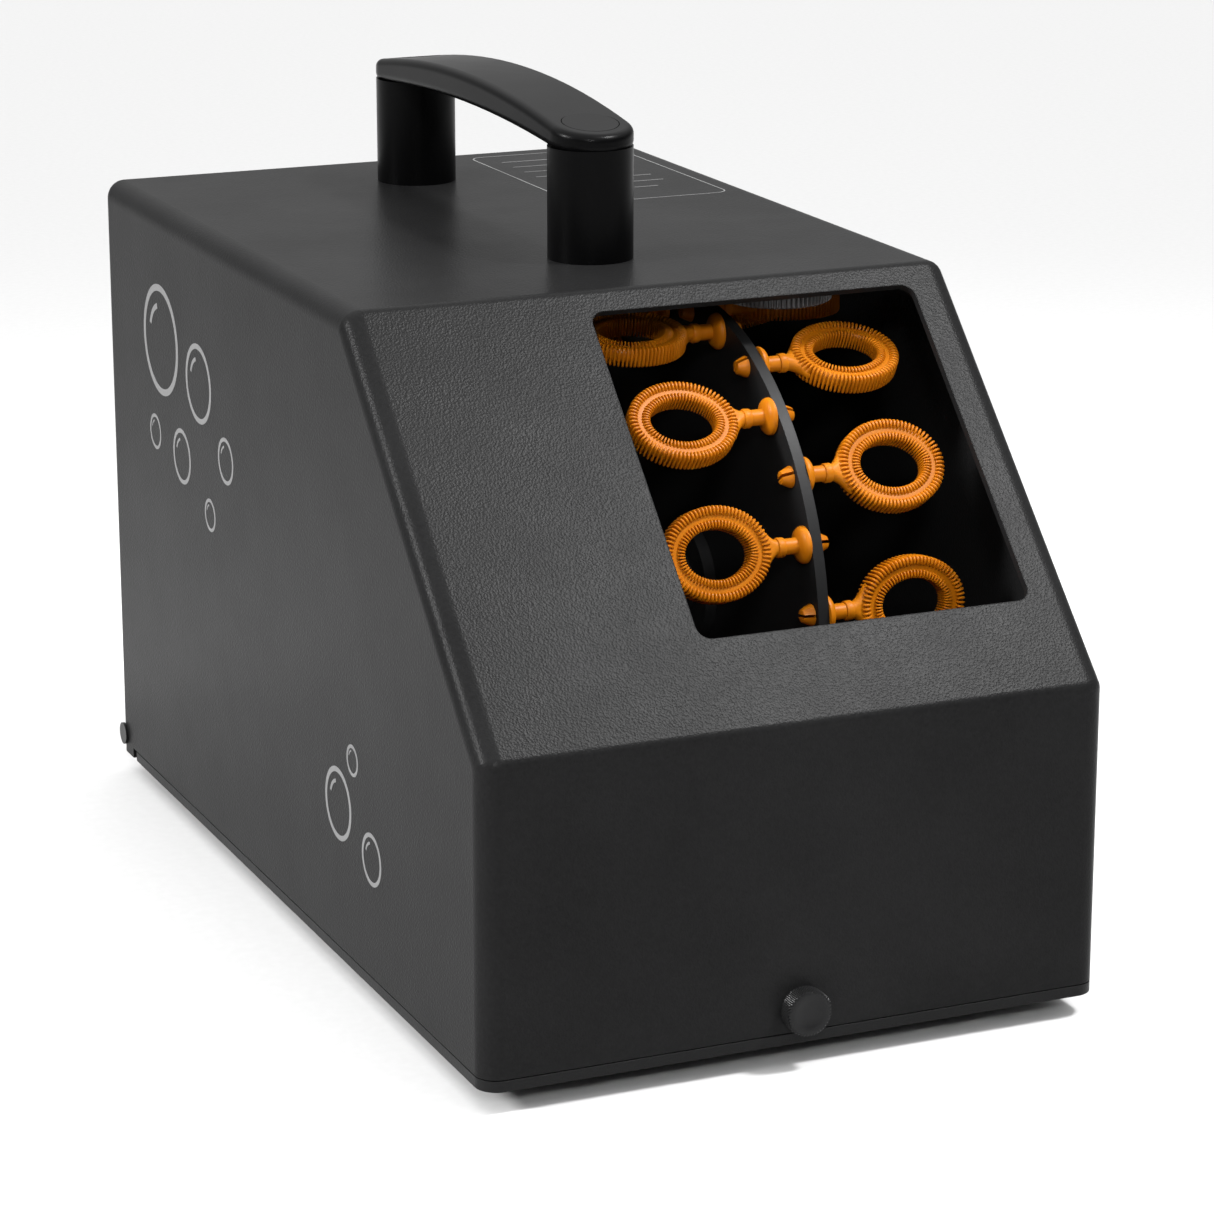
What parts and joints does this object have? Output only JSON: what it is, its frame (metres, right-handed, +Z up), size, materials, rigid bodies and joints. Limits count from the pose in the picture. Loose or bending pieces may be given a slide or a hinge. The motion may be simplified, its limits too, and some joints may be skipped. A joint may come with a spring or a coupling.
{
  "type": "bubble machine",
  "caption": "Stage bubble machine: a hinged black hood with a sloping window over a wheel of orange bubble wands, a fluid tank and a blower, with a carrying handle on top.",
  "frame": {"origin": "on the floor, midway between the two sides and midway between the thumb screw's face and the rear wall", "axes": "+Z up, -Y out of the front panel, +X to the right as seen from the front"},
  "size_m": [0.1816, 0.3208, 0.2351],
  "materials": {
    "hood_plastic": "fine-grained moulded black plastic",
    "handle_plastic": "satin black plastic",
    "base_plastic": "moulded black plastic",
    "foot_rubber": "matt black rubber",
    "wand_plastic": "orange moulded plastic with a soft shine",
    "disc_plastic": "satin black plastic",
    "tank_plastic": "smooth black plastic",
    "steel": "zinc-plated steel",
    "black_screw": "blackened metal",
    "sheet_steel": "powder-coated sheet",
    "zinc_sheet": "galvanised sheet",
    "motor_case": "plated steel can",
    "gear_case": "dark grey plastic",
    "blower_plastic": "black moulded plastic",
    "rotor_plastic": "dark grey plastic",
    "board": "green circuit board",
    "brass": "plain brass",
    "white_plastic": "white nylon",
    "lamp_plastic": "ribbed dark plastic",
    "lens": "frosted clear plastic",
    "red_plastic": "red rocker"
  },
  "bodies": {
    "base": {"base_plate": "base_plastic", "rubber_feet": "foot_rubber", "foot_screws": "steel", "fluid_tank": "tank_plastic", "wheel_bracket": "zinc_sheet", "wheel_gearbox": "gear_case", "wheel_motor": "motor_case", "wheel_motor_screws": "steel", "blower_housing": "blower_plastic", "blower_cover": "blower_plastic", "blower_motor": "motor_case", "blower_stand": "zinc_sheet", "blower_screws": "steel", "control_board": "board", "board_standoffs": "white_plastic", "power_supply": "zinc_sheet", "rear_panel": "sheet_steel", "panel_screws": "steel", "power_inlet": "blower_plastic", "fuse_holder": "blower_plastic", "switch_body": "blower_plastic", "lock_fork": "sheet_steel", "fork_screws": "steel"},
    "hood": {"hood_shell": "hood_plastic", "hinge_pins": "black_screw", "lock_nut": "brass", "handle_posts": "handle_plastic", "handle_screws": "steel", "handle_caps": "handle_plastic", "handle_grip": "handle_plastic", "lamp_body": "lamp_plastic", "lamp_lens": "lens", "lamp_board": "board"},
    "wheel": {"wheel_axle": "steel", "wheel_hub": "disc_plastic", "hub_clamp": "disc_plastic", "hub_screws": "steel", "hub_nut": "steel", "wand_disc": "disc_plastic", "wands_left": "wand_plastic", "wands_right": "wand_plastic"},
    "rotor": {"blower_rotor": "rotor_plastic", "blower_shaft": "steel"},
    "rocker": {"switch_rocker": "red_plastic"},
    "washer": {"lock_washer": "black_screw"},
    "screw": {"thumb_screw": "black_screw"}
  },
  "joints": [
    {"name": "hood_hinge", "type": "hinge", "parent": "base", "child": "hood", "pos_m": [0, 0.15588, 0.0124], "axis": [-1, 0, 0], "range_deg": [0, 90]},
    {"name": "wheel_spin", "type": "hinge", "parent": "base", "child": "wheel", "pos_m": [0.0288, -0.0246, 0.09645], "axis": [1, 0, 0], "continuous": true},
    {"name": "blower_spin", "type": "hinge", "parent": "base", "child": "rotor", "pos_m": [0.02, 0.104, 0.1], "axis": [1, 0, 0], "continuous": true},
    {"name": "rocker_tilt", "type": "hinge", "parent": "base", "child": "rocker", "pos_m": [-0.028, 0.1549, 0.082], "axis": [-1, 0, 0], "range_deg": [0, 18]},
    {"name": "lock_slide", "type": "slide", "parent": "hood", "child": "washer", "axis": [0, -1, 0], "range_m": [0, 0.0024]},
    {"name": "thumb_turn", "type": "hinge", "parent": "washer", "child": "screw", "pos_m": [0, -0.15463, 0.0166], "axis": [0, -1, 0], "range_deg": [0, 1080]}
  ],
  "couplings": [
    {"joint": "lock_slide", "follows": "thumb_turn", "m_per_rad": 0.00012732}
  ]
}
